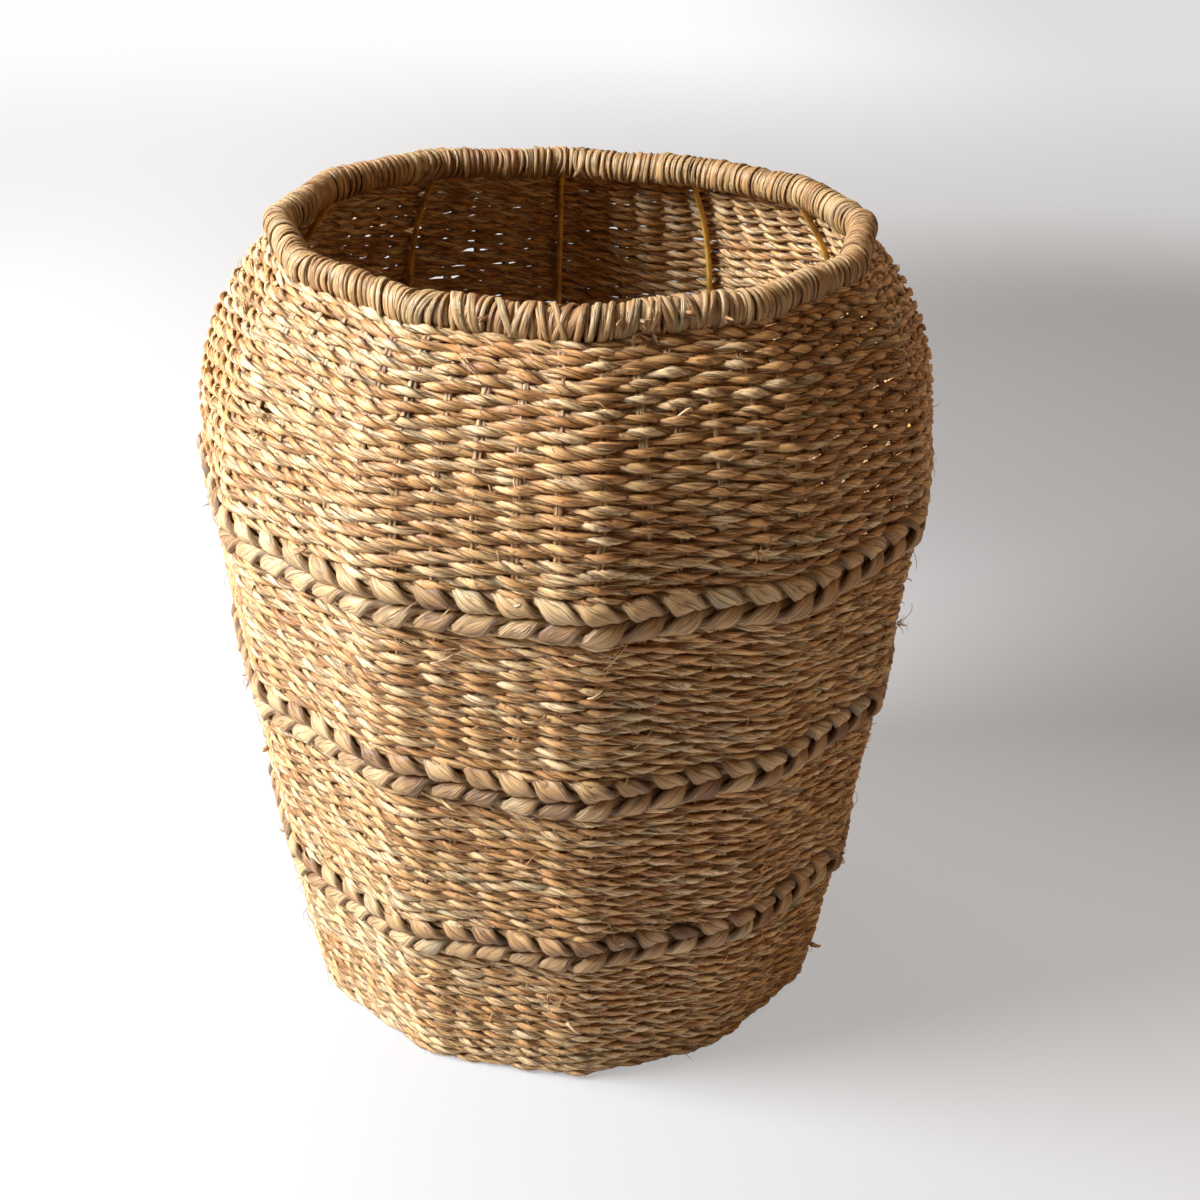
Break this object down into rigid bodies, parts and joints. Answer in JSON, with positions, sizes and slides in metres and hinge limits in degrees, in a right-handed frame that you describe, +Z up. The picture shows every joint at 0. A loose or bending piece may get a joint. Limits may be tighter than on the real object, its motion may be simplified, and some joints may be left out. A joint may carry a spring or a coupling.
{
  "type": "woven seagrass basket",
  "caption": "Open barrel-shaped storage basket woven from twisted seagrass cord on a painted rod frame, with arrow bands and a wrapped rim.",
  "frame": {"origin": "middle of the face that the basket stands on", "axes": "+Z up through the mouth, -Y towards the front of the picture"},
  "size_m": [0.45, 0.45, 0.4997],
  "materials": {
    "painted_rod": "iron rod brushed with ochre gold paint, satin",
    "seagrass_weave": "two-ply twisted seagrass cord, dry, straw to reddish brown",
    "flat_strand": "thick flat dried strand, smooth, olive straw",
    "rim_wrap": "seagrass strips wrapped side by side, dry"
  },
  "bodies": {
    "root": {"rim_hoop": "painted_rod", "base_hoop": "painted_rod", "rib_01": "painted_rod", "rib_02": "painted_rod", "rib_03": "painted_rod", "rib_04": "painted_rod", "rib_05": "painted_rod", "rib_06": "painted_rod", "rib_07": "painted_rod", "rib_08": "painted_rod", "rib_09": "painted_rod", "rib_10": "painted_rod", "rib_11": "painted_rod", "rib_12": "painted_rod", "base_bar_long": "painted_rod", "base_bar_right": "painted_rod", "base_bar_left": "painted_rod", "wall_shoulder": "seagrass_weave", "wall_middle": "seagrass_weave", "wall_lower": "seagrass_weave", "wall_foot": "seagrass_weave", "base_panel": "seagrass_weave", "upper_band_top_row": "flat_strand", "upper_band_bottom_row": "flat_strand", "middle_band_top_row": "flat_strand", "middle_band_bottom_row": "flat_strand", "lower_band_top_row": "flat_strand", "lower_band_bottom_row": "flat_strand", "rim_binding": "rim_wrap"}
  },
  "joints": []
}
